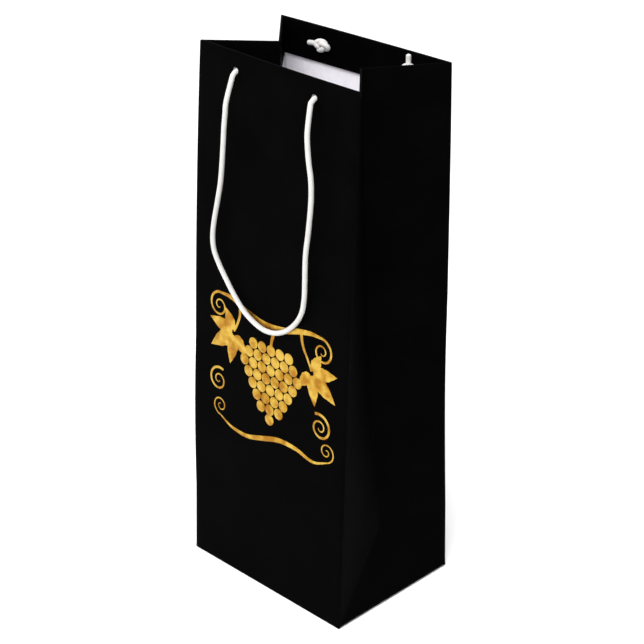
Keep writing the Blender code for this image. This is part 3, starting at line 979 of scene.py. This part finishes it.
def make_knot(side, hand, material):
    """A tight overhand knot on the inside of the hem with the cord's cut end sticking out."""
    name = f"{SIDE_NAMES[side]}_knot_{HAND_NAMES[hand]}"
    face = hem_face(side, hand * HOLE_X)
    tail_up = (side, hand) == (BACK, RIGHT)
    points = [Vector((hand * HOLE_X + across, face - side * into, HOLE_Z + up))
              for across, up, into in knot_route(tail_up)]
    centres = even_points(smooth_route(points, 6), CORD_RING)
    knot = braided_cord(name + "_cord", centres, material, round_end=True)
    stand_for(name, knot)
    return knot


# ---- Gold ornament ----

def on_front(x, z, lift):
    """A point this far proud of the front panel's face."""
    face = wall_middle(FRONT, x, z) - FACE / math.cos(LEAN)
    return Vector((x, face - lift * math.cos(LEAN), z + lift * math.sin(LEAN)))


# Heights of the foil's shapes above the paper: hidden underside, edge and crowns
FOIL_SUNK = -0.00004
FOIL_EDGE = 0.00005
STROKE_CROWN = 0.00012
LEAF_CROWN = 0.00022
BERRY_CROWN = 0.00045


class Foil:
    """Collects the ornament's stamped shapes into one mesh of closed solids."""

    def __init__(self):
        self.points, self.faces = [], []

    def add(self, points, faces):
        """Adds one shape's points and faces."""
        start = len(self.points)
        self.points += points
        self.faces += [[start + index for index in face] for face in faces]

    def ribbon(self, line, width_at):
        """A stroke along (x, z) points; width_at gives its width at a share of its length."""
        sides = ((-0.5, FOIL_SUNK), (-0.5, FOIL_EDGE), (-0.25, 0.8), (0.0, 1.0),
                 (0.25, 0.8), (0.5, FOIL_EDGE), (0.5, FOIL_SUNK))
        points = []
        for index, place in enumerate(line):
            ahead = line[min(index + 1, len(line) - 1)]
            behind = line[max(index - 1, 0)]
            along = (ahead - behind).normalized()
            across = Vector((-along.y, along.x))
            width = width_at(index / (len(line) - 1))
            crown = FOIL_EDGE + min(STROKE_CROWN, 0.10 * width)
            for offset, height in sides:
                spot = place + across * (offset * width)
                lift = crown * height if height > 0.5 else height
                points.append(on_front(spot.x, spot.y, lift))
        count = len(sides)
        faces = tube_faces(len(line), count)
        faces.append(list(range(count))[::-1])
        faces.append(list(range((len(line) - 1) * count, len(line) * count)))
        self.add(points, faces)

    def pillow(self, outline, centre, crown):
        """A filled shape round its centre, raised towards the middle."""
        rings = ((1.0, FOIL_SUNK), (1.0, FOIL_EDGE), (0.82, 0.55 * crown), (0.45, 0.92 * crown))
        points = []
        for scale, lift in rings:
            for place in outline:
                spot = centre + (place - centre) * scale
                points.append(on_front(spot.x, spot.y, lift))
        count = len(outline)
        faces = tube_faces(len(rings), count)
        points.append(on_front(centre.x, centre.y, crown))
        top = (len(rings) - 1) * count
        for side in range(count):
            faces.append([top + side, top + (side + 1) % count, len(points) - 1])
        faces.append(list(range(count))[::-1])
        self.add(points, faces)

    def build(self, name, material):
        """The collected shapes as one object."""
        item = new_object(name, self.points, self.faces, [material])
        shape = bmesh.new()
        shape.from_mesh(item.data)
        bmesh.ops.recalc_face_normals(shape, faces=shape.faces)
        shape.to_mesh(item.data)
        shape.free()
        smooth(item, math.radians(50))
        return item


def stroke(points, steps=10):
    """A smooth line through (x, z) millimetre pairs."""
    places = [Vector((x / 1000, z / 1000, 0.0)) for x, z in points]
    return [Vector((p.x, p.y)) for p in smooth_route(places, steps)]


def curl(centre, start_radius, end_radius, start_angle, turns):
    """(x, z) millimetre pairs that wind in to a centre."""
    steps = 56
    pairs = []
    for step in range(steps + 1):
        share = step / steps
        radius = start_radius + (end_radius - start_radius) * share ** 0.85
        turn = math.radians(start_angle + 360 * turns * share)
        pairs.append((centre[0] + radius * math.cos(turn), centre[1] + radius * math.sin(turn)))
    return pairs


def swelling(thin, thick):
    """Stroke width from thin ends to a thick middle, in millimetres."""
    return lambda share: (thin + (thick - thin) * math.sin(math.pi * share)) / 1000


def tapering(start, end):
    """Stroke width that changes evenly from start to end, in millimetres."""
    return lambda share: (start + (end - start) * share) / 1000


def leaf_lobe(foil, root, angle, length, width):
    """One toothed lobe of a vine leaf, from its root outwards, in millimetres."""
    notches = 4
    along = Vector((math.cos(angle), math.sin(angle)))
    across = Vector((-along.y, along.x))
    start = Vector(root) / 1000
    edge = []
    for side in (1, -1):
        half = []
        for step in range(19):
            share = step / 18
            bulge = math.sin(math.pi * share ** 0.72) * width / 2
            tooth = 0.10 * width * abs(math.sin(math.pi * notches * share)) * (1 - share)
            reach = share * length
            half.append(start + (along * reach + across * side * (bulge + tooth)) / 1000)
        edge.append(half)
    outline = edge[0] + edge[1][-2:0:-1]
    foil.pillow(outline, start + along * (length * 0.48 / 1000), LEAF_CROWN)


def vine_leaf(foil, root, facing, size):
    """Five lobes spread round a leaf's stalk, with the bare veins showing between them."""
    for turn, reach, breadth in ((0, 1.0, 0.40), (46, 0.86, 0.36), (-46, 0.86, 0.36),
                                 (96, 0.62, 0.32), (-96, 0.62, 0.32)):
        angle = math.radians(facing + turn)
        spot = (root[0] + 0.07 * size * math.cos(angle), root[1] + 0.07 * size * math.sin(angle))
        leaf_lobe(foil, spot, angle, reach * size, breadth * size)


def grape_cluster(foil, top, rows, radius, pitch):
    """Berries in staggered rows, each a little dome."""
    for row, count in enumerate(rows):
        for place in range(count):
            x = top[0] + (place - (count - 1) / 2) * pitch
            z = top[1] - row * pitch * 0.87
            centre = Vector((x, z)) / 1000
            outline = []
            for step in range(28):
                turn = 2 * math.pi * step / 28
                outline.append(centre + Vector((math.cos(turn), math.sin(turn))) * radius / 1000)
            foil.pillow(outline, centre, BERRY_CROWN)


def make_ornament(material):
    """A vine across the panel: cane, leaves, a hanging bunch of grapes and curling tendrils."""
    foil = Foil()
    grape_cluster(foil, (2, 161), (5, 6, 7, 6, 5, 4, 3, 1), 3.5, 7.3)
    cane = [(-41, 184), (-31, 183.5), (-18, 179), (-4, 176), (10, 177), (24, 181), (34, 183),
            (42, 183)]
    foil.ribbon(stroke(cane), swelling(1.6, 4.0))
    foil.ribbon(stroke([(3, 177), (3.6, 172), (2.6, 168), (2, 164)]), tapering(2.8, 1.8))
    for root, facing, size, stalk in (
            ((-29, 162), 215, 23, [(-24, 181), (-24.5, 174), (-27, 167), (-29, 163)]),
            ((35, 159), -35, 22, [(26, 181.5), (28, 173), (32, 166), (35, 160)])):
        vine_leaf(foil, root, facing, size)
        foil.ribbon(stroke(stalk), tapering(2.2, 1.2))
    sweep = [(-40, 104), (-30, 99.5), (-17, 98.5), (-4, 102), (10, 106), (24, 106), (38, 103),
             (50, 107)]
    foil.ribbon(stroke(sweep), swelling(0.8, 3.2))
    for centre, outer, inner, start, turns, width in (
            ((-42, 175.5), 8.6, 1.2, 83, 1.6, 1.6), ((43, 174.5), 8.6, 1.2, 97, -1.65, 1.6),
            ((-42, 127), 8.5, 1.0, 62, 1.75, 1.6), ((43, 127), 9, 1.2, 118, -1.8, 1.8),
            ((-40, 110.5), 6.5, 1.0, -92, -1.5, 1.0), ((48.5, 113.5), 6.6, 1.0, -76, 1.5, 1.0)):
        foil.ribbon(stroke(curl(centre, outer, inner, start, turns), 1), tapering(width, 0.6))
    ornament = foil.build("vine_ornament_foil", material)
    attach(ornament, "bag")


# ---- Studio ----

def make_camera():
    """Front right, from above, at the distance that fills the frame."""
    azimuth, elevation = math.radians(44.76), math.radians(26.16)
    aim, distance = Vector((0.0020, 0.0, 0.1651)), 1.052
    back = Vector((math.sin(azimuth) * math.cos(elevation),
                   -math.cos(azimuth) * math.cos(elevation), math.sin(elevation)))
    data = bpy.data.cameras.new("camera")
    data.lens = 99.75
    data.sensor_width = 36.0
    camera = add_object("camera", data)
    camera.location = aim + back * distance
    camera.rotation_mode = "QUATERNION"
    camera.rotation_quaternion = (-back).to_track_quat("-Z", "Y")
    bpy.context.scene.camera = camera


def area_light(name, place, aim, size, power):
    """A square softbox at a place, turned to a point; size in metres, power in watts."""
    data = bpy.data.lights.new(name, "AREA")
    data.size = size
    data.energy = power
    light = add_object(name, data)
    light.location = place
    light.rotation_mode = "QUATERNION"
    light.rotation_quaternion = (Vector(aim) - Vector(place)).to_track_quat("-Z", "Y")


def make_studio():
    """A wide pale floor under soft light from a bright, even room."""
    floor_paint, shader, place = new_material("studio_floor", 0.9, specular=0.1)
    tone = add_noise(floor_paint, place, 3.0, detail=2.0)
    color = add_ramp(floor_paint, tone, [(0.3, 0.88), (0.7, 0.9)])
    feed(floor_paint, color, shader.inputs["Base Color"])
    half = 6.0
    corners = [(-half, -half, 0), (half, -half, 0), (half, half, 0), (-half, half, 0)]
    floor = new_object("floor", corners, [[0, 1, 2, 3]], [floor_paint])
    world = bpy.data.worlds.new("room")
    world.use_nodes = True
    background = world.node_tree.nodes["Background"]
    background.inputs["Color"].default_value = (1.0, 1.0, 1.0, 1.0)
    background.inputs["Strength"].default_value = 0.8
    bpy.context.scene.world = world
    area_light("key", (0.5, -1.2, 1.8), (0, 0, 0.25), 1.3, 54.0)
    area_light("fill", (-1.6, -0.9, 1.0), (0, 0, 0.15), 1.4, 12.0)
    area_light("top", (0.2, 0.3, 2.1), (0, 0, 0.3), 1.4, 14.0)
    bpy.context.scene.view_settings.view_transform = "Standard"


def main():
    """Makes the camera, the bag's pieces, its ornament and the studio."""
    make_camera()
    cord = cotton_cord()
    for side, route in ((FRONT, FRONT_ROUTE), (BACK, REAR_ROUTE)):
        knots = [make_knot(side, hand, cord) for hand in (LEFT, RIGHT)]
        make_rope(side, route, cord)
    black, white = black_paper(), white_paper()
    make_bag(black, white)
    make_seam_flap(black, white)
    make_end_flap("front_bottom_flap", FRONT, FRONT_LEVEL, black, white)
    make_end_flap("back_bottom_flap", BACK, BACK_LEVEL, black, white)
    make_side_flap("left_bottom_flap", LEFT, black, white)
    make_side_flap("right_bottom_flap", RIGHT, black, white)
    make_base_card(grey_card("base_board", (0.22, 0.21, 0.20), (0.36, 0.35, 0.33)))
    stiff_card = grey_card("stiffening_card", (0.30, 0.29, 0.27), (0.44, 0.43, 0.40))
    make_handle_card(FRONT, stiff_card)
    make_handle_card(BACK, stiff_card)
    make_ornament(gold_foil())
    make_studio()


main()
